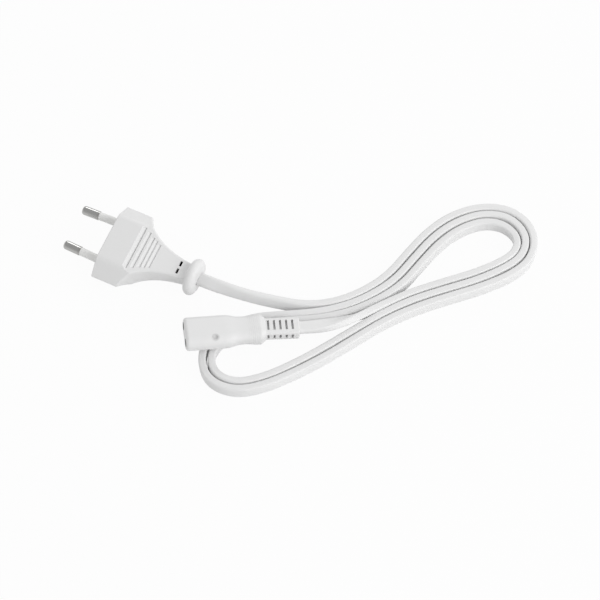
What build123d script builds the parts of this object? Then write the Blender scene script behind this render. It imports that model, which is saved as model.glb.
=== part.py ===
from build123d import *
import os
from math import asin, cos, degrees, pi, radians, sin, tan

# Power cord: a flat two-pin plug, a flat twin cord laid in three long loops, and a figure-8
# connector that lies over the left end of the loops.
# Millimetres, +Z up. The cord and the plug rest on the plane Z = 0.

# Flat twin cord: a strip with round edges, standing on edge while it lies in its loops.
CORD_WIDE = 5.8
CORD_THICK = 3.2
LAID = CORD_WIDE / 2
ARC_SHARE = 0.45
TWIST_STATIONS = 16

# Plug, in its own frame: X along the pins, Y across them, face at X = 0.
PLUG_FACE = (-30.83, 19.7, 9.34)
PLUG_HEADING = 154.3
PLUG_PITCH = -1.7
PLUG_ROLL = -12.0
FACE_HALF_WIDTH = 17.9
FACE_FLAT_HALF = 10.85
FACE_HALF_HEIGHT = 6.85
BLOCK_LENGTH = 12.2
BEVEL_END = 13.7
BEVEL_DROP = 0.5
NECK_END = 38.3
NECK_HALF_WIDTH = 3.9
NECK_HALF_HEIGHT = 4.0
TAPER_PULL = 0.6
SWEEP_PULL = (17.0, 5.7)
RIDGE_ROUND = 0.8
SHOULDER_ROUND = 4.0
WALL_ROUND = 1.0
FACE_ROUND = 0.5
BEAD_CENTRE = 40.4
BEAD_HALF = 2.4
BEAD_RADIUS = 8.1
TEETH = ((13.7, 10.1), (16.3, 8.9), (18.7, 7.5), (20.5, 6.7), (22.4, 5.7))
TOOTH_DEPTH = 0.6
TOOTH_SLOPE = 1.0
TOOTH_RISER = 0.35
WINDOW_PLACE = 33.8
WINDOW_OFFSET = 1.8
WINDOW_SIZE = (1.0, 2.4)
WINDOW_FLOOR = 0.4

# Pins: round, sleeved next to the face, leaning together towards their tips.
PIN_RADIUS = 2.0
PIN_LENGTH = 17.05
PIN_BARE = 7.9
PIN_TIP_ROUND = 1.2
PIN_PITCH_FACE = 18.6
PIN_PITCH_TIP = 17.5
SLEEVE_RADIUS = 1.8
SHANK_RADIUS = 1.5
SLEEVE_SEAT = 2.0
COLLAR_RADIUS = 2.6
COLLAR_LENGTH = 1.6
TAIL_RADIUS = 1.3
TAIL_END = 10.5
CARRIER_WIDTH = 27.4
CARRIER_HEIGHT = 8.2
CARRIER_DEPTH = 4.6

# Cores: the two insulated wires, bare of the outer sheath inside plug and connector.
CORE_RADIUS = 0.95
CORE_HALF_PITCH = 1.3
CORE_BEND = 4.0
CORE_LEAD = 4.5

# Connector, in its own frame: X out of the mouth, Y across the two holes, mouth at X = 0.
CONNECTOR_REAR = (50.11, -23.01, 8.04)
CONNECTOR_HEADING = 187.5
CONNECTOR_PITCH = -4.1
CONNECTOR_LENGTH = 48.5
FRONT = (14.8, 8.6, 3.9)
WAIST = (12.2, 7.8, 3.4)
FLARE = (12.8, 8.3, 3.2)
SHOULDER = (9.3, 6.8, 2.0)
RELIEF = (8.3, 6.0, 1.5)
FRONT_END = 17.0
WAIST_SPAN = (23.5, 26.0)
FLARE_SPAN = (31.2, 32.0)
RELIEF_START = 34.0
RELIEF_BEND = -2.5
RELIEF_ROOT = 1.0
EASE = (0.0, 0.15, 0.5, 0.85, 1.0)
MOUTH_ROUND = 1.4
RELIEF_ROUND = 0.6
SLOT_FIRST = 35.25
SLOT_PITCH = 2.56
SLOT_COUNT = 5
SLOT_WIDTH = 0.9
SLOT_TOP = 4.9
SLOT_SIDE = 2.6
SLOT_BITE = 0.5
DIMPLE_PLACE = 12.4
DIMPLE_LEAN = 22.6
DIMPLE_RADIUS = 1.1
DIMPLE_DEPTH = 0.5
HOLE_PITCH = 8.6
HOLE_RADIUS = 1.7
HOLE_FLARE = 0.3
SKIN = 1.6
BLOCK_SIZE = (12.9, 6.2)
BLOCK_END = 15.0
CONTACT_RADIUS = 1.75
CONTACT_BORE = 1.2
CONTACT_START = 2.0
CONTACT_END = 14.0
CONTACT_BORE_END = 11.0
CONTACT_TAIL_RADIUS = 1.1
CONTACT_TAIL_END = 18.0

# How deep the cord's sheath reaches into plug and connector, and the bell mouth it comes out of.
PLUG_SHEATH_END = 36.5
CONNECTOR_SHEATH_END = 33.5
BELL = 0.15
BELL_LENGTH = 6.0
EXIT_LEAD = 3.6
LIE_DOWN_FROM = 16.0

plug_place = Pos(*PLUG_FACE) * Rot(Z=PLUG_HEADING) * Rot(Y=PLUG_PITCH) * Rot(X=PLUG_ROLL)
connector_turn = Rot(Z=CONNECTOR_HEADING) * Rot(Y=CONNECTOR_PITCH)
connector_place = Pos(*CONNECTOR_REAR) * connector_turn * Pos(X=CONNECTOR_LENGTH)
relief_seat = Pos((connector_place * Pos(X=-CONNECTOR_SHEATH_END)).position)
relief_heading = Rot(Z=CONNECTOR_HEADING + RELIEF_BEND) * Rot(Y=CONNECTOR_PITCH)
relief_place = relief_seat * relief_heading * Pos(X=CONNECTOR_SHEATH_END)
relief_turn = connector_place.inverse() * relief_place
PLUG_REAR = BEAD_CENTRE + BEAD_HALF


def on_axis(place, depth):
    """A point on a moulding's own axis, at a depth behind its front face."""
    return tuple((place * Pos(X=-depth)).position)


# The cord's route, placed by hand from the plug through the loops to the connector.
OUT_OF_PLUG = [
    on_axis(plug_place, PLUG_SHEATH_END),
    on_axis(plug_place, PLUG_REAR + EXIT_LEAD),
    (26.1, -5.8, 6.8),
    (39.6, -7.9, 4.3),
]
LOOPS = [
    (53.6, -9.0), (66.6, -7.8), (78.6, -2.1), (88.5, 5.9), (96.4, 16.8), (105.2, 28.1),
    (115.9, 36.9), (128.7, 41.4), (140.6, 40.0), (149.0, 32.3), (151.4, 21.7), (147.8, 11.8),
    (138.6, 4.6), (126.1, -1.1), (112.7, -5.8), (99.8, -10.8), (86.8, -17.5), (74.3, -26.4),
    (61.7, -35.5), (48.6, -43.5), (35.9, -49.9), (23.7, -53.0), (13.3, -48.6), (8.6, -38.0),
    (10.8, -26.4), (19.0, -18.2), (30.5, -14.9), (43.6, -14.0), (56.6, -13.1), (68.7, -10.5),
    (80.2, -5.1), (91.0, 2.8), (99.3, 14.2), (107.9, 25.4), (117.7, 33.3), (128.8, 37.6),
    (139.2, 36.5), (145.8, 30.1), (147.7, 22.3), (144.8, 14.2), (136.4, 8.1), (125.0, 2.5),
    (111.6, -2.1), (98.3, -7.1), (85.1, -14.2), (72.3, -23.1), (59.8, -32.0), (46.8, -40.2),
    (34.8, -46.3), (24.0, -49.1), (15.8, -45.6), (12.2, -37.2), (14.0, -28.3), (20.4, -21.9),
    (30.5, -18.6), (43.6, -17.7), (57.6, -16.8), (70.2, -13.9), (82.2, -8.2), (93.8, 0.2),
    (102.3, 11.7), (110.4, 22.2), (119.3, 29.7), (129.4, 33.8), (138.2, 32.2), (143.8, 25.5),
    (143.1, 17.8), (136.3, 12.0), (123.8, 6.2), (110.4, 1.6), (97.2, -3.5),
]
INTO_CONNECTOR = [
    (84.8, -10.7, 3.9),
    (73.4, -17.2, 5.6),
    (63.4, -21.4, 7.0),
    on_axis(relief_place, CONNECTOR_LENGTH + EXIT_LEAD),
    on_axis(relief_place, CONNECTOR_SHEATH_END),
]
ROUTE = [Vector(p) for p in OUT_OF_PLUG + [(x, y, LAID) for x, y in LOOPS] + INTO_CONNECTOR]


def rod(start, end, radius, y=0.0):
    """A round bar along X between two depths behind X = 0."""
    return Pos(-(start + end) / 2, y, 0) * Rot(Y=90) * Cylinder(radius, abs(end - start))


def across(depth):
    """The plane across a moulding's axis, facing the cord."""
    return Plane((-depth, 0, 0), x_dir=(0, 1, 0), z_dir=(-1, 0, 0))


def both_faces(cut):
    """A feature of the top face, and the same one on the bottom face."""
    return cut + mirror(cut, Plane.XY)


def sheath_pocket(depth, rear):
    """Room for the cord's end, with a slight bell mouth where the cord comes out."""
    strip = SlotOverall(CORD_WIDE, CORD_THICK)
    wider = SlotOverall(CORD_WIDE + 2 * BELL, CORD_THICK + 2 * BELL)
    bell_start = rear - BELL_LENGTH
    seat = extrude(across(depth) * strip, bell_start - depth)
    return seat + loft([across(bell_start) * strip, across(rear) * wider])


# Plug
def neck_half_height(depth):
    """Half height of the plug's side view behind the bevel."""
    t = (depth - BEVEL_END) / (NECK_END - BEVEL_END)
    start = FACE_HALF_HEIGHT - BEVEL_DROP
    pull = NECK_HALF_HEIGHT + TAPER_PULL
    return start * (1 - t) ** 2 + 2 * pull * t * (1 - t) + NECK_HALF_HEIGHT * t**2


def side_view():
    """The plug's side view as a slab: level block, a bevel, then a hollow taper to the neck."""
    top = FACE_HALF_HEIGHT
    low = NECK_HALF_HEIGHT
    step = (-BEVEL_END, top - BEVEL_DROP)
    pull = (-(BEVEL_END + NECK_END) / 2, low + TAPER_PULL)
    level = Polyline((0, top), (-BLOCK_LENGTH, top), step)
    taper = Bezier(step, pull, (-NECK_END, low))
    rest = Line((-NECK_END, low), (-NECK_END, -low))
    under = Bezier((-NECK_END, -low), (pull[0], -pull[1]), (step[0], -step[1]))
    front = Polyline((step[0], -step[1]), (-BLOCK_LENGTH, -top), (0, -top), (0, top))
    face = make_face([level, taper, rest, under, front])
    return extrude(Plane.XZ * face, FACE_HALF_WIDTH + 1, both=True)


def plan_view():
    """The plug's plan as a slab: full width block, swept in to the neck on both sides."""
    neck_left = (-NECK_END, NECK_HALF_WIDTH)
    neck_right = (-NECK_END, -NECK_HALF_WIDTH)
    wide_left = (-BLOCK_LENGTH, FACE_HALF_WIDTH)
    wide_right = (-BLOCK_LENGTH, -FACE_HALF_WIDTH)
    left = Bezier(wide_left, (-SWEEP_PULL[0], SWEEP_PULL[1]), neck_left)
    end = Line(neck_left, neck_right)
    right = Bezier(neck_right, (-SWEEP_PULL[0], -SWEEP_PULL[1]), wide_right)
    block = Polyline(wide_right, (0, -FACE_HALF_WIDTH), (0, FACE_HALF_WIDTH), wide_left)
    return extrude(make_face([left, end, right, block]), FACE_HALF_HEIGHT + 1, both=True)


def hexagon_bar():
    """The plug's end view drawn along X: a flat hexagon with soft shoulders and firmer ridges."""
    corners = [
        (FACE_FLAT_HALF, FACE_HALF_HEIGHT),
        (-FACE_FLAT_HALF, FACE_HALF_HEIGHT),
        (-FACE_HALF_WIDTH, 0),
        (-FACE_FLAT_HALF, -FACE_HALF_HEIGHT),
        (FACE_FLAT_HALF, -FACE_HALF_HEIGHT),
        (FACE_HALF_WIDTH, 0),
    ]
    hexagon = make_face(Polyline(*corners, close=True))
    levels = hexagon.vertices().group_by(Axis.Y)
    hexagon = fillet(levels[0] + levels[-1], SHOULDER_ROUND)
    ends = hexagon.vertices().sort_by(Axis.X)
    hexagon = fillet([ends[0], ends[-1]], RIDGE_ROUND)
    return extrude(Plane.YZ * hexagon, -NECK_END)


def tooth_cut(depth, half_length):
    """One grip groove: a long slope down towards the cord, then a steep riser."""
    top = neck_half_height(depth)
    clear = top + TOOTH_DEPTH
    start = (-depth + 2 * TOOTH_SLOPE, clear)
    lowest = (-depth, top - TOOTH_DEPTH)
    end = (-depth - 2 * TOOTH_RISER, clear)
    profile = Polyline(start, lowest, end, close=True)
    return both_faces(extrude(Plane.XZ * make_face(profile), half_length, both=True))


def window_cuts():
    """The two slots that the mould's pegs leave over the cores, on each face."""
    length, width = WINDOW_SIZE
    cuts = Part()
    for side in (1, -1):
        peg = Box(length, width, NECK_HALF_HEIGHT * 2, align=(Align.CENTER, Align.CENTER, Align.MIN))
        cuts += Pos(-WINDOW_PLACE, side * WINDOW_OFFSET, WINDOW_FLOOR) * peg
    return both_faces(cuts)


def bead():
    """The round bead where the cord leaves the plug."""
    web = BEAD_RADIUS - BEAD_HALF
    disc = rod(BEAD_CENTRE - BEAD_HALF, PLUG_REAR, web)
    ring = Pos(X=-BEAD_CENTRE) * Rot(Y=90) * Torus(web, BEAD_HALF)
    return disc + ring


def pin_frame(side):
    """A pin's own frame: origin on the plug's face, X out along the pin."""
    lean = degrees(asin((PIN_PITCH_FACE - PIN_PITCH_TIP) / 2 / PIN_LENGTH))
    return Pos(0, side * PIN_PITCH_FACE / 2, 0) * Rot(Z=-side * lean)


def pin(side):
    """Turned pin: bare tip, thinner shank under the sleeve, collar and crimp tail."""
    shoulder = -(PIN_LENGTH - PIN_BARE)
    tip = rod(-PIN_LENGTH, shoulder, PIN_RADIUS)
    tip = fillet(tip.edges().group_by(Axis.X)[-1], PIN_TIP_ROUND)
    shank = rod(shoulder, SLEEVE_SEAT, SHANK_RADIUS)
    collar = rod(SLEEVE_SEAT, SLEEVE_SEAT + COLLAR_LENGTH, COLLAR_RADIUS)
    tail = rod(SLEEVE_SEAT + COLLAR_LENGTH, TAIL_END, TAIL_RADIUS)
    return pin_frame(side) * (tip + shank + collar + tail)


def pin_sleeve(side):
    """Insulating sleeve round the shank, from the bare tip into the carrier."""
    shoulder = -(PIN_LENGTH - PIN_BARE)
    tube = rod(shoulder, SLEEVE_SEAT, SLEEVE_RADIUS)
    return pin_frame(side) * (tube - rod(shoulder, SLEEVE_SEAT, SHANK_RADIUS))


def carrier_blank():
    """Outline of the plate that holds both pins, flush with the plug's face."""
    return extrude(Plane.YZ * SlotOverall(CARRIER_WIDTH, CARRIER_HEIGHT), -CARRIER_DEPTH)


def core(points):
    """One insulated core along its bends."""
    path = FilletPolyline(*points, radius=CORE_BEND)
    return sweep(Plane(path @ 0, z_dir=path % 0) * Circle(CORE_RADIUS), path)


def plug_core(side):
    """A core from the end of the sheath out to its pin's crimp tail."""
    frame = pin_frame(side)
    crimp = tuple((frame * Pos(X=-TAIL_END)).position)
    lead = tuple((frame * Pos(X=-TAIL_END - CORE_LEAD)).position)
    y = side * CORE_HALF_PITCH
    start = (-PLUG_SHEATH_END, y, 0)
    return core([start, (-PLUG_SHEATH_END + CORE_LEAD, y, 0), lead, crimp])


def neck_edges(body):
    """The edges round the swept-in walls, from the ridges' rear corners to the bead."""
    behind = [f for f in body.faces() if -NECK_END < f.center().X < -BLOCK_LENGTH]
    upright = [f for f in behind if abs(f.normal_at().Z) < 0.01]
    edges = ShapeList([e for f in upright for e in f.edges()])
    return edges.filter_by(lambda e: -NECK_END + 0.1 < e.center().X and abs(e.center().Z) > 0.1)


def plug_body(inner):
    """The moulded cover: block, neck, grip and bead, with room for what it is moulded round."""
    body = hexagon_bar() & plan_view() & side_view()
    body = fillet(neck_edges(body), WALL_ROUND)
    body = fillet(body.edges().group_by(Axis.X)[-1], FACE_ROUND)
    body += bead()
    for depth, half_length in TEETH:
        body -= tooth_cut(depth, half_length)
    body -= window_cuts()
    body -= sheath_pocket(PLUG_SHEATH_END, PLUG_REAR)
    for piece in inner:
        body -= piece
    return body


# Connector
def section(depth, size):
    """The connector's rounded section at a depth behind its mouth."""
    width, height, corner = size
    return across(depth) * RectangleRounded(width, height, corner)


def between(a, b, share):
    """A section size part of the way from one size to another."""
    return tuple(p + (q - p) * share for p, q in zip(a, b))


def connector_skin():
    """The outside of the connector: round-lipped front, hollow waist, flare and shoulder."""
    front = extrude(section(0, FRONT), FRONT_END)
    front = fillet(front.edges().group_by(Axis.X)[-1], MOUTH_ROUND)
    stations = []
    for start, end, a, b in (
        (FRONT_END, WAIST_SPAN[0], FRONT, WAIST),
        (WAIST_SPAN[1], FLARE_SPAN[0], WAIST, FLARE),
    ):
        for i, share in enumerate(EASE):
            depth = start + (end - start) * i / (len(EASE) - 1)
            stations.append(section(depth, between(a, b, share)))
    waist = loft(stations)
    flare = extrude(section(FLARE_SPAN[0], FLARE), FLARE_SPAN[1] - FLARE_SPAN[0])
    shoulder = loft([section(FLARE_SPAN[1], FLARE), section(RELIEF_START, SHOULDER)], ruled=True)
    return front + waist + flare + shoulder


def strain_relief():
    """The sleeve round the cord, bent a little with it, with rings of slots on all four sides."""
    root = RELIEF_START - RELIEF_ROOT
    sleeve = extrude(section(root, RELIEF), CONNECTOR_LENGTH - root)
    sleeve = fillet(sleeve.edges().group_by(Axis.X)[0], RELIEF_ROUND)
    return relief_turn * (sleeve - relief_slots())


def relief_slots():
    """The slots through the strain relief, down to the cord."""
    low = CORD_THICK / 2 - SLOT_BITE
    near = CORD_WIDE / 2 - SLOT_BITE
    cuts = Part()
    for i in range(SLOT_COUNT):
        x = -(SLOT_FIRST + i * SLOT_PITCH)
        top = Box(SLOT_WIDTH, SLOT_TOP, RELIEF[1], align=(Align.CENTER, Align.CENTER, Align.MIN))
        side = Box(SLOT_WIDTH, RELIEF[0], SLOT_SIDE, align=(Align.CENTER, Align.MIN, Align.CENTER))
        cuts += both_faces(Pos(x, 0, low) * top)
        side = Pos(x, near, 0) * side
        cuts += side + mirror(side, Plane.XZ)
    return cuts


def dimple():
    """The small round dimple on the front's shoulder."""
    width, height, corner = FRONT
    ball = (DIMPLE_RADIUS**2 + DIMPLE_DEPTH**2) / (2 * DIMPLE_DEPTH)
    reach = corner + ball - DIMPLE_DEPTH
    y = width / 2 - corner + reach * sin(radians(DIMPLE_LEAN))
    z = height / 2 - corner + reach * cos(radians(DIMPLE_LEAN))
    return Pos(-DIMPLE_PLACE, y, z) * Sphere(ball)


def entry_holes():
    """The two holes in the mouth, with a flared rim."""
    holes = Part()
    for side in (1, -1):
        y = side * HOLE_PITCH / 2
        holes += rod(0, SKIN, HOLE_RADIUS, y)
        rim = Pos(-HOLE_FLARE / 2, y, 0) * Rot(Y=90)
        holes += rim * Cone(HOLE_RADIUS, HOLE_RADIUS + HOLE_FLARE, HOLE_FLARE)
    return holes


def contact(side):
    """A contact tube for one appliance pin, with its crimp tail."""
    y = side * HOLE_PITCH / 2
    tube = rod(CONTACT_START, CONTACT_END, CONTACT_RADIUS, y)
    tail = rod(CONTACT_END, CONTACT_TAIL_END, CONTACT_TAIL_RADIUS, y)
    return tube + tail - rod(CONTACT_START, CONTACT_BORE_END, CONTACT_BORE, y)


def contact_room(side):
    """The solid space that a contact takes up, with the way in to it."""
    y = side * HOLE_PITCH / 2
    room = rod(CONTACT_START, CONTACT_END, CONTACT_RADIUS, y)
    return room + rod(CONTACT_END, CONTACT_TAIL_END, CONTACT_TAIL_RADIUS, y)


def block_blank():
    """Outline of the hard block that holds both contacts."""
    return extrude(across(SKIN) * SlotOverall(*BLOCK_SIZE), BLOCK_END - SKIN)


def contact_block():
    """The hard block: two chambers for the contacts, with the way in from the mouth."""
    block = block_blank()
    for side in (1, -1):
        block -= contact_room(side)
        block -= rod(SKIN, CONTACT_START, HOLE_RADIUS, side * HOLE_PITCH / 2)
    return block


def connector_core(side):
    """A core from the contact's crimp tail back to the end of the sheath."""
    y = side * HOLE_PITCH / 2
    narrow = side * CORE_HALF_PITCH
    front = [(-CONTACT_TAIL_END, y, 0), (-CONTACT_TAIL_END - CORE_LEAD, y, 0)]
    sheath = [relief_turn * Pos(lead - CONNECTOR_SHEATH_END, narrow, 0) for lead in (CORE_LEAD, 0)]
    return core(front + [tuple(place.position) for place in sheath])


def connector_body(inner):
    """The moulded cover of the connector, with room for what it is moulded round."""
    body = connector_skin() + strain_relief() - dimple() - entry_holes()
    body -= relief_turn * sheath_pocket(CONNECTOR_SHEATH_END, CONNECTOR_LENGTH)
    for piece in inner:
        body -= piece
    return body


# Cord
def corner_radii(points):
    """For each corner, the largest arc that its two runs leave room for."""
    radii = []
    for before, here, after in zip(points, points[1:], points[2:]):
        turn = radians((here - before).get_angle(after - here))
        shorter = min((here - before).length, (after - here).length)
        radii.append(ARC_SHARE * shorter / tan(turn / 2))
    return radii


def twisted_end(path, lean_start, lean_end, from_mm, to_mm):
    """A stretch of cord that turns about its own line from one lean to another."""
    sections = []
    for i in range(TWIST_STATIONS + 1):
        here = i / TWIST_STATIONS
        along = here * path.length
        share = min(1, max(0, (along - from_mm) / (to_mm - from_mm)))
        share = share * share * (3 - 2 * share)
        lean = radians(lean_start + (lean_end - lean_start) * share)
        tangent = path % here
        level = Vector(-tangent.Y, tangent.X, 0).normalized()
        wide = level * cos(lean) + tangent.cross(level) * sin(lean)
        sections.append(Plane(path @ here, x_dir=wide, z_dir=tangent) * SlotOverall(CORD_WIDE, CORD_THICK))
    return loft(sections, ruled=True)


def cord():
    """The whole cord: twisted out of the plug, on edge through the loops, flat into the connector."""
    radii = corner_radii(ROUTE)
    first = len(OUT_OF_PLUG)
    last = first + len(LOOPS) - 1
    split_a = (ROUTE[first] + ROUTE[first + 1]) / 2
    split_b = (ROUTE[last - 1] + ROUTE[last]) / 2
    out_path = FilletPolyline(*ROUTE[: first + 1], split_a, radius=radii[:first])
    loop_path = FilletPolyline(split_a, *ROUTE[first + 1 : last], split_b, radius=radii[first : last - 1])
    in_path = FilletPolyline(split_b, *ROUTE[last:], radius=radii[last - 1 :])
    plug_hold = PLUG_REAR - PLUG_SHEATH_END
    relief_hold = CONNECTOR_LENGTH - CONNECTOR_SHEATH_END
    start = twisted_end(out_path, -PLUG_ROLL, 90, plug_hold, out_path.length - plug_hold)
    end = twisted_end(in_path, 90, 0, LIE_DOWN_FROM, in_path.length - relief_hold)
    upright = Plane(loop_path @ 0, x_dir=(0, 0, 1), z_dir=loop_path % 0)
    loops = sweep(upright * SlotOverall(CORD_WIDE, CORD_THICK), loop_path)
    length = out_path.length + loop_path.length + in_path.length
    print("cord radii", [round(r, 1) for r in radii])
    print("cord length", round(length, 1))
    whole = start + loops + end
    area = pi * CORD_THICK**2 / 4 + (CORD_WIDE - CORD_THICK) * CORD_THICK
    print("cord volume over section times length", round(whole.volume / (area * length), 4))
    return whole


def plug_pieces():
    """Every piece of the plug, in the plug's own frame."""
    pieces = {}
    for side, name, colour in ((1, "left", "brown"), (-1, "right", "blue")):
        pieces[f"{name}_pin"] = pin(side)
        pieces[f"{name}_pin_sleeve"] = pin_sleeve(side)
        pieces[f"plug_{colour}_core"] = plug_core(side)
    carrier = carrier_blank()
    for side in (1, -1):
        carrier -= pin(side) + pin_sleeve(side)
    body = plug_body([carrier_blank(), *pieces.values()])
    return {"plug_body": body, "pin_carrier": carrier, **pieces}


def connector_pieces():
    """Every piece of the connector, in the connector's own frame."""
    pieces = {}
    for side, name, colour in ((1, "left", "brown"), (-1, "right", "blue")):
        pieces[f"{name}_contact"] = contact(side)
        pieces[f"connector_{colour}_core"] = connector_core(side)
    rooms = [contact_room(1), contact_room(-1), connector_core(1), connector_core(-1)]
    body = connector_body([block_blank(), *rooms])
    return {"connector_body": body, "contact_block": contact_block(), **pieces}


nodes = {"cord": cord()}
nodes.update({name: plug_place * piece for name, piece in plug_pieces().items()})
nodes.update({name: connector_place * piece for name, piece in connector_pieces().items()})

os.makedirs("parts", exist_ok=True)
for name, piece in nodes.items():
    export_step(piece, f"parts/{name}.step")
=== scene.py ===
from math import cos, pi, radians, sin

import bpy
from mathutils import Matrix, Vector


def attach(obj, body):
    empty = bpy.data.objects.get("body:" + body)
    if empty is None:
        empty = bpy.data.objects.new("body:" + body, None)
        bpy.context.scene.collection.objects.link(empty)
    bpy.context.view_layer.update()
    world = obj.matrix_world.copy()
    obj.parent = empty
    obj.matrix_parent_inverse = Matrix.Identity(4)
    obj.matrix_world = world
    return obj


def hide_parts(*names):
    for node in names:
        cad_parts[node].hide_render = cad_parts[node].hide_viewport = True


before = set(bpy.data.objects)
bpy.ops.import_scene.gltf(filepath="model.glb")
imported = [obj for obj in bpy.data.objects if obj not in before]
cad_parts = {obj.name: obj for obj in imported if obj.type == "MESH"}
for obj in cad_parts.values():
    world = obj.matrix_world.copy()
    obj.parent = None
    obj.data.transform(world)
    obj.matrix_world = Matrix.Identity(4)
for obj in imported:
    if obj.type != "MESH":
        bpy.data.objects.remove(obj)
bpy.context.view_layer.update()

# Contact pins
# Two round pins turned from brass rod and plated with bright nickel. Their tips are rounded, and a
# thinner shank leads back under the sleeve to a collar and a crimp tail inside the plug.
PLUG_FACE = Vector((-0.03083, 0.0197, 0.00934))
PLUG_HEADING = radians(154.3)
PLUG_PITCH = radians(-1.7)
PLUG_ROLL = radians(-12.0)
# A mark on a moulding is placed in millimetres in the moulding's own frame, all else is in metres.
# Where a mark has two numbers, it is full up to the first and gone at the second.
PIN_SHOULDER = 9.15
PIN_ROOT = (0.0, 1.4)
NICKEL = (0.47, 0.47, 0.46)
NICKEL_DULL = (0.35, 0.34, 0.33)
NICKEL_ROUGH = (0.17, 0.27)
ROOT_ROUGHER = 0.08
NICKEL_RELIEF = 0.000003


def turn(heading, pitch, roll):
    """The axes of a moulding that lies at a heading, a pitch and a roll."""
    about_z = Matrix.Rotation(heading, 3, "Z")
    about_y = Matrix.Rotation(pitch, 3, "Y")
    return about_z @ about_y @ Matrix.Rotation(roll, 3, "X")


class Value:
    """A socket in a finish's nodes. Sums and products of values add their Math nodes."""

    COLOUR_ENDS = (6, 7)
    COLOUR_OUT = 2

    def __init__(self, tree, socket=None):
        self.tree = tree
        self.socket = socket

    def node(self, kind, settings=None, sockets=None, output=0):
        """A new node with its settings made first, then its sockets set or linked."""
        made = self.tree.nodes.new(kind)
        for name, setting in (settings or {}).items():
            setattr(made, name, setting)
        for name, value in (sockets or {}).items():
            if isinstance(value, Value):
                self.tree.links.new(value.socket, made.inputs[name])
            else:
                made.inputs[name].default_value = value
        return Value(self.tree, made.outputs[output])

    def math(self, operation, first, second=0.0):
        return self.node("ShaderNodeMath", {"operation": operation}, {0: first, 1: second})

    def __add__(self, other):
        return self.math("ADD", self, other)

    __radd__ = __add__

    def __sub__(self, other):
        return self.math("SUBTRACT", self, other)

    def __rsub__(self, other):
        return self.math("SUBTRACT", other, self)

    def __mul__(self, other):
        return self.math("MULTIPLY", self, other)

    __rmul__ = __mul__

    def __abs__(self):
        return self.math("ABSOLUTE", self)

    def over(self, low, high):
        """A number that goes from low to high as the value goes from 0 to 1."""
        return low + self * (high - low)

    def within(self, near, far):
        """1 where the value is below near, easing to 0 where it is above far."""
        sockets = {"Value": self, "From Min": near, "From Max": far, "To Min": 1.0, "To Max": 0.0}
        return self.node("ShaderNodeMapRange", {"interpolation_type": "SMOOTHSTEP"}, sockets)

    def dot(self, direction):
        """The length of a vector value along a direction."""
        sockets = {0: self, 1: tuple(direction)}
        return self.node("ShaderNodeVectorMath", {"operation": "DOT_PRODUCT"}, sockets, "Value")

    def stretched(self, scales):
        """A vector value with each of its parts scaled by its own amount."""
        sockets = {0: self, 1: tuple(scales)}
        return self.node("ShaderNodeVectorMath", {"operation": "MULTIPLY"}, sockets)

    def noise(self, scale, detail=3.0, roughness=0.5):
        """Soft noise from 0 to 1 over a vector value."""
        sockets = {"Vector": self, "Scale": scale, "Detail": detail, "Roughness": roughness}
        return self.node("ShaderNodeTexNoise", {}, sockets)

    def between(self, low, high):
        """A colour that goes from one to the other as the value goes from 0 to 1."""
        sockets = {"Factor": self}
        for end, colour in zip(self.COLOUR_ENDS, (low, high)):
            sockets[end] = colour if isinstance(colour, Value) else (*colour, 1.0)
        return self.node("ShaderNodeMix", {"data_type": "RGBA"}, sockets, self.COLOUR_OUT)

    def bump(self, distance, strength=1.0):
        """A normal raised by a height value, over a distance in metres."""
        sockets = {"Height": self, "Distance": distance, "Strength": strength}
        return self.node("ShaderNodeBump", {}, sockets)


class Finish:
    """A new material: its shader, and the places that its variation is worked out from."""

    def __init__(self, name):
        self.material = bpy.data.materials.new(name)
        self.material.use_nodes = True
        self.tree = self.material.node_tree
        self.shader = self.tree.nodes["Principled BSDF"]
        self.place = Value(self.tree).node("ShaderNodeTexCoord", output="Object")

    def set(self, **sockets):
        """Sets or links the shader's sockets, named with _ for a space."""
        for name, value in sockets.items():
            target = self.shader.inputs[name.replace("_", " ")]
            if isinstance(value, Value):
                self.tree.links.new(value.socket, target)
            else:
                target.default_value = value

    def local(self, origin, axes):
        """The place in a moulding's own frame, in millimetres: along it, across it and up."""
        sides = []
        for side in axes.transposed():
            sides.append((self.place.dot(side) - origin.dot(side)) * 1000)
        return sides


def streaks(sides, lengthwise, across, detail=3.0, roughness=0.5):
    """Noise drawn out along a moulding, with its fineness per millimetre along it and across it."""
    along, side, up = sides
    parts = {0: along * lengthwise, 1: side * across, 2: up * across}
    return along.node("ShaderNodeCombineXYZ", {}, parts).noise(1.0, detail, roughness)


def dress(node, material):
    """Gives a piece that stays as it was made its finish."""
    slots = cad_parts[node].data.materials
    slots.clear()
    slots.append(material)


plug_axes = turn(PLUG_HEADING, PLUG_PITCH, PLUG_ROLL)


def nickel_plate():
    """Bright plate with faint turning rings, and rubs along the pin where sockets grip it."""
    finish = Finish("nickel_plate")
    sides = finish.local(PLUG_FACE, plug_axes)
    rubs = streaks(sides, lengthwise=0.12, across=5.0, detail=4.0, roughness=0.6)
    rings = streaks(sides, lengthwise=9.0, across=0.2, detail=2.0)
    cloud = finish.place.noise(scale=350.0)
    root = (sides[0] - PIN_SHOULDER).within(*PIN_ROOT)
    dull = root * 0.5 + cloud * 0.25
    finish.set(
        Base_Color=dull.between(NICKEL, NICKEL_DULL),
        Metallic=1.0,
        Roughness=rubs.over(*NICKEL_ROUGH) + root * ROOT_ROUGHER,
        Normal=(rubs * 0.7 + rings * 0.3).bump(NICKEL_RELIEF, strength=0.3),
    )
    return finish.material


nickel = nickel_plate()
for side in ("left", "right"):
    dress(f"{side}_pin", nickel)

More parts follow.
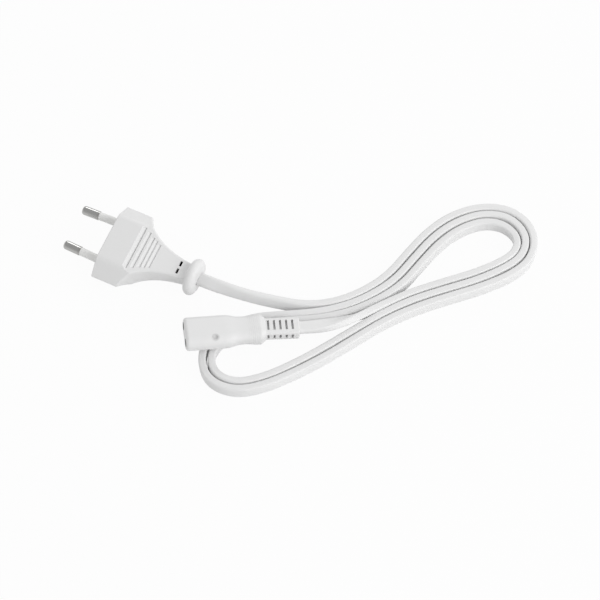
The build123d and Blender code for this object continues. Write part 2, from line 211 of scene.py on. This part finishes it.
# Pin sleeves
# Hard white insulation round the first nine millimetres of each pin, moulded on to the shank so that
# it ends flush with the bare metal. It is smoother and a little whiter than the cover.
SLEEVE_WHITE = (0.88, 0.88, 0.87)
SLEEVE_SHADE = (0.81, 0.81, 0.80)
SLEEVE_ROUGH = (0.26, 0.42)
SLEEVE_RELIEF = 0.00003
SLEEVE_FRONT = (0.2, 2.5)


def sleeve_plastic():
    """Smooth hard plastic with a little wear near its front edge."""
    finish = Finish("sleeve_plastic")
    sides = finish.local(PLUG_FACE, plug_axes)
    cloud = finish.place.noise(scale=260.0, detail=4.0)
    scuff = streaks(sides, lengthwise=0.25, across=4.0, detail=5.0, roughness=0.65)
    front = (PIN_SHOULDER - sides[0]).within(*SLEEVE_FRONT)
    worn = cloud * 0.35 + scuff * (0.25 + front * 0.25)
    finish.set(
        Base_Color=worn.between(SLEEVE_WHITE, SLEEVE_SHADE),
        Roughness=scuff.over(*SLEEVE_ROUGH),
        Normal=(cloud * 0.5 + scuff * 0.5).bump(SLEEVE_RELIEF, strength=0.3),
    )
    return finish.material


sleeve = sleeve_plastic()
for side in ("left", "right"):
    dress(f"{side}_pin_sleeve", sleeve)

# Pin carrier and contact block
# Two hard inner mouldings of filled plastic: the plate that holds both pins at their pitch, flush
# with the plug's face, and the block in the connector's mouth that holds both contacts.
CARRIER_WHITE = (0.78, 0.78, 0.76)
CARRIER_SHADE = (0.69, 0.69, 0.67)
CARRIER_ROUGH = (0.46, 0.58)
CARRIER_RELIEF = 0.00004


def hard_plastic():
    """Filled plastic with a matt, faintly mottled skin."""
    finish = Finish("hard_plastic")
    cloud = finish.place.noise(scale=420.0, detail=4.0)
    grain = finish.place.noise(scale=5200.0, detail=2.0)
    finish.set(
        Base_Color=(cloud * 0.6).between(CARRIER_WHITE, CARRIER_SHADE),
        Roughness=cloud.over(*CARRIER_ROUGH),
        Normal=grain.bump(CARRIER_RELIEF, strength=0.3),
    )
    return finish.material


inner_plastic = hard_plastic()
for node in ("pin_carrier", "contact_block"):
    dress(node, inner_plastic)

# Contacts
# Two rolled brass contact tubes that grip the appliance's pins, pushed into the block and crimped
# to the cores.
BRASS = (0.78, 0.62, 0.32)
BRASS_DULL = (0.55, 0.40, 0.20)
BRASS_ROUGH = (0.24, 0.46)
BRASS_RELIEF = 0.00002


def contact_brass():
    """Plain brass, dulled in clouds."""
    finish = Finish("contact_brass")
    cloud = finish.place.noise(scale=600.0, detail=4.0, roughness=0.6)
    finish.set(
        Base_Color=cloud.between(BRASS, BRASS_DULL),
        Metallic=1.0,
        Roughness=cloud.over(*BRASS_ROUGH),
        Normal=cloud.bump(BRASS_RELIEF, strength=0.3),
    )
    return finish.material


brass = contact_brass()
for side in ("left", "right"):
    dress(f"{side}_contact", brass)

# Cores
# The two insulated wires of the cord, one brown and one blue, bare of the sheath inside the plug and
# inside the connector.
CORE_COLOURS = {"brown": (0.24, 0.12, 0.06), "blue": (0.05, 0.14, 0.38)}
CORE_DARKER = 0.75
CORE_STREAKS = (120.0, 900.0, 900.0)
CORE_ROUGH = (0.34, 0.48)
CORE_RELIEF = 0.00002


def core_plastic(colour_name, colour):
    """Smooth extruded insulation, darker in faint streaks."""
    finish = Finish(f"{colour_name}_core")
    streak = finish.place.stretched(CORE_STREAKS).noise(1.0)
    darker = tuple(part * CORE_DARKER for part in colour)
    finish.set(
        Base_Color=streak.between(colour, darker),
        Roughness=streak.over(*CORE_ROUGH),
        Normal=streak.bump(CORE_RELIEF, strength=0.25),
    )
    return finish.material


for colour_name, colour in CORE_COLOURS.items():
    insulation = core_plastic(colour_name, colour)
    for end in ("plug", "connector"):
        dress(f"{end}_{colour_name}_core", insulation)

# Cord
# A flat twin cord: both cores side by side in one soft PVC sheath, extruded as a strip with round
# corners. It leaves the plug nearly level, soon stands on edge, leaning back at first, and runs so
# through three long loops, splayed at their ends. It lies flat again where the connector holds it.
CORD_WIDE = 0.0058
CORD_THICK = 0.0032
CORD_ROUTE = [
    (0.0020, 0.0039, 0.0083), (0.0110, -0.0004, 0.0080), (0.0261, -0.0058, 0.0068),
    (0.0396, -0.0080, 0.0043), (0.0536, -0.0101, 0.0030), (0.0666, -0.0081, 0.0030),
    (0.0786, -0.0021, 0.0029), (0.0885, 0.0059, 0.0029), (0.0964, 0.0168, 0.0029),
    (0.1052, 0.0281, 0.0029), (0.1159, 0.0369, 0.0029), (0.1287, 0.0414, 0.0029),
    (0.1406, 0.0400, 0.0029), (0.1490, 0.0323, 0.0030), (0.1514, 0.0217, 0.0030),
    (0.1478, 0.0118, 0.0030), (0.1386, 0.0046, 0.0029), (0.1261, -0.0011, 0.0029),
    (0.1127, -0.0058, 0.0029), (0.0998, -0.0108, 0.0029), (0.0868, -0.0175, 0.0029),
    (0.0743, -0.0264, 0.0029), (0.0617, -0.0355, 0.0029), (0.0486, -0.0435, 0.0029),
    (0.0359, -0.0499, 0.0029), (0.0238, -0.0527, 0.0029), (0.0132, -0.0485, 0.0030),
    (0.0089, -0.0389, 0.0030), (0.0112, -0.0280, 0.0030), (0.0195, -0.0212, 0.0029),
    (0.0305, -0.0159, 0.0029), (0.0436, -0.0147, 0.0029), (0.0566, -0.0136, 0.0029),
    (0.0687, -0.0108, 0.0029), (0.0802, -0.0052, 0.0029), (0.0910, 0.0028, 0.0029),
    (0.0993, 0.0142, 0.0029), (0.1079, 0.0254, 0.0029), (0.1177, 0.0333, 0.0029),
    (0.1288, 0.0376, 0.0029), (0.1392, 0.0365, 0.0029), (0.1458, 0.0301, 0.0029),
    (0.1479, 0.0223, 0.0029), (0.1448, 0.0142, 0.0029), (0.1364, 0.0081, 0.0029),
    (0.1250, 0.0025, 0.0029), (0.1116, -0.0021, 0.0029), (0.0983, -0.0071, 0.0029),
    (0.0851, -0.0142, 0.0029), (0.0723, -0.0231, 0.0029), (0.0598, -0.0320, 0.0029),
    (0.0468, -0.0402, 0.0029), (0.0348, -0.0463, 0.0029), (0.0238, -0.0490, 0.0029),
    (0.0155, -0.0452, 0.0030), (0.0128, -0.0378, 0.0030), (0.0149, -0.0302, 0.0030),
    (0.0216, -0.0242, 0.0029), (0.0308, -0.0191, 0.0029), (0.0436, -0.0179, 0.0029),
    (0.0576, -0.0168, 0.0029), (0.0702, -0.0139, 0.0029), (0.0822, -0.0082, 0.0029),
    (0.0938, 0.0002, 0.0029), (0.1023, 0.0117, 0.0029), (0.1104, 0.0222, 0.0029),
    (0.1193, 0.0297, 0.0029), (0.1294, 0.0338, 0.0029), (0.1382, 0.0322, 0.0030),
    (0.1441, 0.0255, 0.0030), (0.1434, 0.0178, 0.0030), (0.1363, 0.0120, 0.0030),
    (0.1238, 0.0062, 0.0029), (0.1104, 0.0016, 0.0029), (0.0972, -0.0035, 0.0029),
    (0.0848, -0.0107, 0.0039), (0.0734, -0.0172, 0.0056), (0.0634, -0.0214, 0.0070),
    (0.0538, -0.0233, 0.0078), (0.0353, -0.0250, 0.0091),
]
ROUTE_STEPS = 12
PLUG_HOLD = 0.0063
TURNED_UP = 0.0270
UPRIGHT = 0.0850
LEANS_BACK = radians(72)
SPLAYS = (
    (0.150, 0.180, 0.210, radians(-6.0)), (0.322, 0.350, 0.378, radians(-4.5)),
    (0.655, 0.683, 0.711, radians(4.5)), (0.825, 0.855, 0.885, radians(6.0)),
)
TURNS_DOWN = 0.0580
RELIEF_HOLD = 0.0150
FREE_CORNER = 0.0008
HELD_CORNER = 0.00157
PLUG_SETTLE = 0.080
RELIEF_SETTLE = 0.012
CORNER_STEPS = 6
SHEATH_WHITE = (0.865, 0.865, 0.865)
SHEATH_SHADE = (0.805, 0.805, 0.805)
# Painted shade: the sheath is painted grey inside the relief, where its slots show it, and fades from
# grey over its first few millimetres out of the bead.
SHEATH_PAINTED_SHADE = (0.62, 0.62, 0.62)
SHADE_IN_RELIEF = (0.0130, 0.0140)
SHADE_AT_BEAD = 0.5
SHADE_BEAD_LENGTH = 0.008
SHEATH_STREAKS = (18.0, 26.0, 1.0)
SHEATH_ROUGH = (0.40, 0.54)
SHEATH_RELIEF = 0.00008


def cord_line():
    """Points along the cord's middle, read from a smooth spline through its route."""
    curve = bpy.data.curves.new("cord_route", "CURVE")
    curve.dimensions = "3D"
    spline = curve.splines.new("NURBS")
    spline.points.add(len(CORD_ROUTE) - 1)
    for point, place in zip(spline.points, CORD_ROUTE):
        point.co = (*place, 1.0)
    spline.order_u = 3
    spline.use_endpoint_u = True
    spline.resolution_u = ROUTE_STEPS
    carrier = bpy.data.objects.new("cord_route", curve)
    bpy.context.scene.collection.objects.link(carrier)
    bpy.context.view_layer.update()
    mesh = bpy.data.meshes.new_from_object(carrier.evaluated_get(bpy.context.evaluated_depsgraph_get()))
    points = [vertex.co.copy() for vertex in mesh.vertices]
    bpy.data.meshes.remove(mesh)
    bpy.data.objects.remove(carrier)
    bpy.data.curves.remove(curve)
    return points


def ease(along, start, end):
    """0 before the start, 1 after the end, and a smooth rise between them."""
    share = min(1.0, max(0.0, (along - start) / (end - start)))
    return share * share * (3 - 2 * share)


def lean_at(along, whole):
    """How far the strip stands up on its edge at a distance along the cord."""
    level = -PLUG_ROLL
    up = level + (LEANS_BACK - level) * ease(along, 0.0, TURNED_UP)
    up += (radians(90) - LEANS_BACK) * ease(along, TURNED_UP, UPRIGHT)
    for start, middle, end, splay in SPLAYS:
        up += splay * (ease(along, start, middle) - ease(along, middle, end))
    return up * (1 - ease(along, whole - TURNS_DOWN, whole - RELIEF_HOLD))


def corner_at(along, whole):
    """The rounding of the strip's corners: squeezed round in the mouldings, flatter outside them."""
    from_plug = ease(along, PLUG_HOLD, PLUG_HOLD + PLUG_SETTLE)
    to_relief = ease(along, whole - RELIEF_HOLD - RELIEF_SETTLE, whole - RELIEF_HOLD)
    return HELD_CORNER + (FREE_CORNER - HELD_CORNER) * (from_plug - to_relief)


def strip_section(corner):
    """The sheath's section as wide and thick places: a strip with four round corners."""
    ring = []
    for side_wide, side_thick, start in ((1, -1, -90), (1, 1, 0), (-1, 1, 90), (-1, -1, 180)):
        wide = side_wide * (CORD_WIDE / 2 - corner)
        thick = side_thick * (CORD_THICK / 2 - corner)
        for step in range(CORNER_STEPS + 1):
            angle = radians(start + 90 * step / CORNER_STEPS)
            ring.append((wide + corner * cos(angle), thick + corner * sin(angle)))
    return ring


def lengths_along(line):
    """The distance from the cord's start to each point of its line."""
    lengths = [0.0]
    for before, after in zip(line, line[1:]):
        lengths.append(lengths[-1] + (after - before).length)
    return lengths


def cord_mesh(line):
    """The strip along its line, closed at both ends, with its length and girth as its map."""
    lengths = lengths_along(line)
    girth = 4 * (CORNER_STEPS + 1)
    points = []
    for i, (centre, along) in enumerate(zip(line, lengths)):
        tangent = (line[min(i + 1, len(line) - 1)] - line[max(i - 1, 0)]).normalized()
        level = Vector((-tangent.y, tangent.x, 0)).normalized()
        lean = lean_at(along, lengths[-1])
        wide = level * cos(lean) + tangent.cross(level) * sin(lean)
        thick = tangent.cross(wide)
        section = strip_section(corner_at(along, lengths[-1]))
        points += [centre + wide * w + thick * t for w, t in section]
    faces = []
    places = []
    for i in range(len(line) - 1):
        for k in range(girth):
            after = (k + 1) % girth
            faces.append((i * girth + k, i * girth + after, (i + 1) * girth + after, (i + 1) * girth + k))
            places += [
                (lengths[i], k / girth), (lengths[i], (k + 1) / girth),
                (lengths[i + 1], (k + 1) / girth), (lengths[i + 1], k / girth),
            ]
    faces.append(tuple(range(girth - 1, -1, -1)))
    faces.append(tuple(len(points) - girth + k for k in range(girth)))
    places += [(0.0, 0.0)] * girth + [(lengths[-1], 0.0)] * girth
    mesh = bpy.data.meshes.new("cord_sheath")
    mesh.from_pydata(points, [], faces)
    layer = mesh.uv_layers.new(name="sheath")
    for corner, place in zip(layer.data, places):
        corner.uv = place
    mesh.shade_smooth()
    return mesh


def sheath_plastic(whole):
    """Soft extruded PVC: a satin skin with faint streaks along it, and painted shade inside the relief
    and for a short way out of the bead.
    """
    finish = Finish("cord_sheath")
    along_girth = finish.place.node("ShaderNodeUVMap", {"uv_map": "sheath"})
    along = along_girth.dot((1, 0, 0))
    streak = along_girth.stretched(SHEATH_STREAKS).noise(1.0)
    cloud = finish.place.noise(scale=90.0, detail=4.0)
    skin = finish.place.noise(scale=2400.0)
    # Painted shade: grey inside the relief and for a short way out of the bead.
    relief_shade = (whole - along).within(*SHADE_IN_RELIEF)
    bead_shade = along.within(PLUG_HOLD, PLUG_HOLD + SHADE_BEAD_LENGTH)
    painted_shade = relief_shade + bead_shade * SHADE_AT_BEAD
    tone = streak * 0.4 + cloud * 0.4
    finish.set(
        Base_Color=painted_shade.between(tone.between(SHEATH_WHITE, SHEATH_SHADE), SHEATH_PAINTED_SHADE),
        Roughness=streak.over(*SHEATH_ROUGH),
        Normal=(skin * 0.3 + streak * 0.7).bump(SHEATH_RELIEF, strength=0.35),
    )
    return finish.material


line = cord_line()
cord = bpy.data.objects.new("flat_cord", cord_mesh(line))
bpy.context.scene.collection.objects.link(cord)
cord.data.materials.append(sheath_plastic(lengths_along(line)[-1]))
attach(cord, "root")
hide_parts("cord")

# Plug cover
# Soft white PVC moulded over the carrier, the cores and the end of the cord: a flat hexagonal block,
# a swept-in neck with a toothed grip on both faces, and a round bead that the cord comes out of.
COVER_WHITE = (0.85, 0.85, 0.85)
COVER_SHADE = (0.79, 0.79, 0.79)
# The near-black colour of the painted shade in holes, slots and grooves.
COVER_PAINTED_SHADE = (0.02, 0.02, 0.02)
COVER_ROUGH = (0.42, 0.54)
COVER_RELIEF = 0.00009
PARTING_HALF = (0.02, 0.14)
# The window slots over the cores are painted near black: painted shade.
WINDOW_PLACE = 33.8
WINDOW_OFFSET = 1.8
WINDOW_LONG = (0.53, 0.57)
WINDOW_WIDE = (1.23, 1.27)
WINDOW_DEEP = (3.6, 3.9)
# Each groove's place, half length and painted shade along its bottom.
GROOVES = (
    (13.7, 10.1, 0.16), (16.3, 8.9, 0.12), (18.7, 7.5, 0.05), (20.5, 6.7, 0.04), (22.4, 5.7, 0.04),
)
GROOVE_HALF = 0.6
GROOVE_FADE = 0.3


def moulded_cover(finish, sides, dark, raised):
    """Moulded PVC: fine eroded grain, a soft mottle, and the line where the mould's halves meet, with
    painted shade blended in by the dark mask.
    """
    cloud = finish.place.noise(scale=75.0, detail=4.0)
    grain = finish.place.noise(scale=3600.0, detail=2.0)
    flow = streaks(sides, lengthwise=0.06, across=0.35)
    parting = abs(sides[2]).within(*PARTING_HALF)
    tone = cloud * 0.35 + flow * 0.3 + parting * 0.25
    finish.set(
        Base_Color=dark.between(tone.between(COVER_WHITE, COVER_SHADE), COVER_PAINTED_SHADE),
        Roughness=cloud.over(*COVER_ROUGH),
        Normal=(grain * 0.2 + cloud * 0.3 + parting * 0.4 + raised).bump(COVER_RELIEF, strength=0.4),
    )
    return finish.material


def plug_cover():
    """The plug's cover, with painted shade in the two slots over the cores and along the bottoms of the
    grip's grooves.
    """
    finish = Finish("plug_cover")
    sides = finish.local(PLUG_FACE, plug_axes)
    along, side, up = sides
    # Painted shade: the window slots' walls are painted near black.
    dark = abs(along + WINDOW_PLACE).within(*WINDOW_LONG)
    dark = dark * abs(abs(side) - WINDOW_OFFSET).within(*WINDOW_WIDE) * abs(up).within(*WINDOW_DEEP)
    # Painted shade, grey along the bottom of each groove.
    for place, half_length, shade in GROOVES:
        lowest = abs(along + place).within(0.0, GROOVE_HALF)
        dark = dark + lowest * abs(side).within(half_length - GROOVE_FADE, half_length) * shade
    return moulded_cover(finish, sides, dark, 0.0)


dress("plug_body", plug_cover())

# Connector cover
# The figure-8 connector's cover, moulded from the same PVC over the contact block and the cord: a
# round-lipped front with two pin holes, a hollow waist with fine ribs, and a slotted strain relief.
CONNECTOR_REAR = Vector((0.05011, -0.02301, 0.00804))
CONNECTOR_HEADING = radians(187.5)
CONNECTOR_PITCH = radians(-4.1)
CONNECTOR_LENGTH = 0.0485
RELIEF_BEND = radians(-2.5)
RELIEF_PIVOT = 0.0335
# The pin holes' walls are painted near black: painted shade.
HOLE_OFFSET = 4.3
HOLE_RADIUS = (2.05, 2.10)
HOLE_LIP = (-0.12, -0.04)
HOLE_END = (2.0, 2.1)
# The dimple is painted a little grey: painted shade.
DIMPLE = (-12.4, 5.0, 4.0)
DIMPLE_RADIUS = (0.66, 1.98)
DIMPLE_SHADE = 0.28
# The relief's slots are painted grey: painted shade.
SLOTS_START = (-1.0, -0.9)
TOP_SLOT_LONG = (2.5, 2.55)
TOP_SLOT_DEEP = (2.6, 2.8)
SIDE_SLOT_LONG = (1.35, 1.40)
SIDE_SLOT_DEEP = (3.75, 3.95)
SLOT_SHADE = 0.12
RIBS_PLACE = 29.0
RIBS_HALF = (2.4, 2.6)
RIBS_GAP = (0.2, 1.2)
RIB_PITCH = 0.78

connector_axes = turn(CONNECTOR_HEADING, CONNECTOR_PITCH, 0.0)
connector_mouth = CONNECTOR_REAR + connector_axes.col[0] * CONNECTOR_LENGTH
relief_axes = turn(CONNECTOR_HEADING + RELIEF_BEND, CONNECTOR_PITCH, 0.0)
relief_seat = connector_mouth - connector_axes.col[0] * RELIEF_PIVOT


def connector_cover():
    """The connector's cover, with painted shade in its pin holes, its dimple and its relief's slots."""
    finish = Finish("connector_cover")
    sides = finish.local(connector_mouth, connector_axes)
    along, side, up = sides
    # Painted shade: the pin holes' walls near black.
    off_axis = abs(side) - HOLE_OFFSET
    from_hole = off_axis * off_axis + up * up
    hole = from_hole.within(HOLE_RADIUS[0]**2, HOLE_RADIUS[1]**2)
    hole = hole * (-1 * along).within(*HOLE_END) * along.within(*HOLE_LIP)
    # Painted shade, grey in the dimple.
    from_dimple = 0.0
    for value, centre in zip(sides, DIMPLE):
        from_dimple = from_dimple + (value - centre) * (value - centre)
    dimple = from_dimple.within(DIMPLE_RADIUS[0]**2, DIMPLE_RADIUS[1]**2)
    # Painted shade, grey in the relief's top and side slots.
    behind, across, above = finish.local(relief_seat, relief_axes)
    top = abs(across).within(*TOP_SLOT_LONG) * abs(above).within(*TOP_SLOT_DEEP)
    flank = abs(above).within(*SIDE_SLOT_LONG) * abs(across).within(*SIDE_SLOT_DEEP)
    slot = top.math("MAXIMUM", top, flank) * behind.within(*SLOTS_START)
    wave = along * (2 * pi / RIB_PITCH)
    ribbed = abs(along + RIBS_PLACE).within(*RIBS_HALF) * (1 - abs(side).within(*RIBS_GAP))
    ribs = wave.math("SINE", wave) * ribbed
    # Painted shade of the slots and the dimple.
    grey = slot * SLOT_SHADE + dimple * DIMPLE_SHADE
    dark = hole + grey * (1 - hole)
    return moulded_cover(finish, sides, dark, ribs)


dress("connector_body", connector_cover())

# Floor, light and camera
# A plain pale table top in a surround that is brighter near the horizon: a wide key lamp low at the
# front right, a weaker one on the right, and a small one behind that the pins mirror. The camera
# looks down on the cord from the front.
FLOOR_SIZE = 6.0
FLOOR_PALE = (0.74, 0.74, 0.74)
FLOOR_ROUGH = 0.9
FLOOR_GLOW = 0.95
HORIZON_WHITE = (0.80, 0.80, 0.80)
OVERHEAD_GREY = (0.60, 0.60, 0.60)
HORIZON_HEIGHT = 0.05
OVERHEAD_HEIGHT = 0.75
LAMPS = (
    ("key_lamp", (0.97, -0.79, 0.70), 0.9, 6.3),
    ("right_lamp", (1.30, -0.10, 0.80), 0.9, 2.3),
    ("back_lamp", (0.20, 1.05, 0.66), 0.5, 2.1),
)
LAMP_TARGET = Vector((0.05, 0.0, 0.0))
CAMERA_TARGET = Vector((0.0506, -0.0041, 0.0))
CAMERA_ELEVATION = radians(56.0)
CAMERA_DISTANCE = 1.6
CAMERA_LENS = 225.6


def white_floor():
    """A matt pale top that the camera sees as nearly white, and that still takes the shadow."""
    material = bpy.data.materials.new("white_floor")
    material.use_nodes = True
    tree = material.node_tree
    matt = tree.nodes["Principled BSDF"]
    matt.inputs["Base Color"].default_value = (*FLOOR_PALE, 1.0)
    matt.inputs["Roughness"].default_value = FLOOR_ROUGH
    matt.inputs["Specular IOR Level"].default_value = 0.0
    ray = Value(tree)
    seen = ray.node("ShaderNodeLightPath", output="Is Camera Ray")
    mirrored = ray.node("ShaderNodeLightPath", output="Is Glossy Ray")
    through = ray.node("ShaderNodeLightPath", output="Is Transmission Ray")
    white = ray.node("ShaderNodeEmission", {}, {"Strength": 1.0})
    share = (seen + mirrored + through) * FLOOR_GLOW
    both = ray.node("ShaderNodeMixShader", {}, {0: share, 1: Value(tree, matt.outputs[0]), 2: white})
    tree.links.new(both.socket, tree.nodes["Material Output"].inputs["Surface"])
    return material


half = FLOOR_SIZE / 2
corners = [(-half, -half, 0), (half, -half, 0), (half, half, 0), (-half, half, 0)]
floor_mesh = bpy.data.meshes.new("floor")
floor_mesh.from_pydata(corners, [], [(0, 1, 2, 3)])
floor = bpy.data.objects.new("floor", floor_mesh)
bpy.context.scene.collection.objects.link(floor)
floor.data.materials.append(white_floor())

world = bpy.data.worlds.new("surround")
world.use_nodes = True
toward = Value(world.node_tree).node("ShaderNodeTexCoord", output="Generated")
low = toward.dot((0, 0, 1)).within(HORIZON_HEIGHT, OVERHEAD_HEIGHT)
sky = low.between(OVERHEAD_GREY, HORIZON_WHITE)
world.node_tree.links.new(sky.socket, world.node_tree.nodes["Background"].inputs["Color"])
bpy.context.scene.world = world

for name, place, size, power in LAMPS:
    lamp = bpy.data.lights.new(name, "AREA")
    lamp.shape = "DISK"
    lamp.size = size
    lamp.energy = power
    holder = bpy.data.objects.new(name, lamp)
    holder.location = place
    holder.rotation_euler = (LAMP_TARGET - Vector(place)).to_track_quat("-Z", "Y").to_euler()
    bpy.context.scene.collection.objects.link(holder)

camera_data = bpy.data.cameras.new("camera")
camera_data.lens = CAMERA_LENS
camera = bpy.data.objects.new("camera", camera_data)
back = Vector((0.0, -cos(CAMERA_ELEVATION), sin(CAMERA_ELEVATION)))
camera.location = CAMERA_TARGET + back * CAMERA_DISTANCE
camera.rotation_euler = (radians(90) - CAMERA_ELEVATION, 0.0, 0.0)
bpy.context.scene.collection.objects.link(camera)
bpy.context.scene.camera = camera
bpy.context.scene.view_settings.view_transform = "Standard"

bpy.context.view_layer.update()
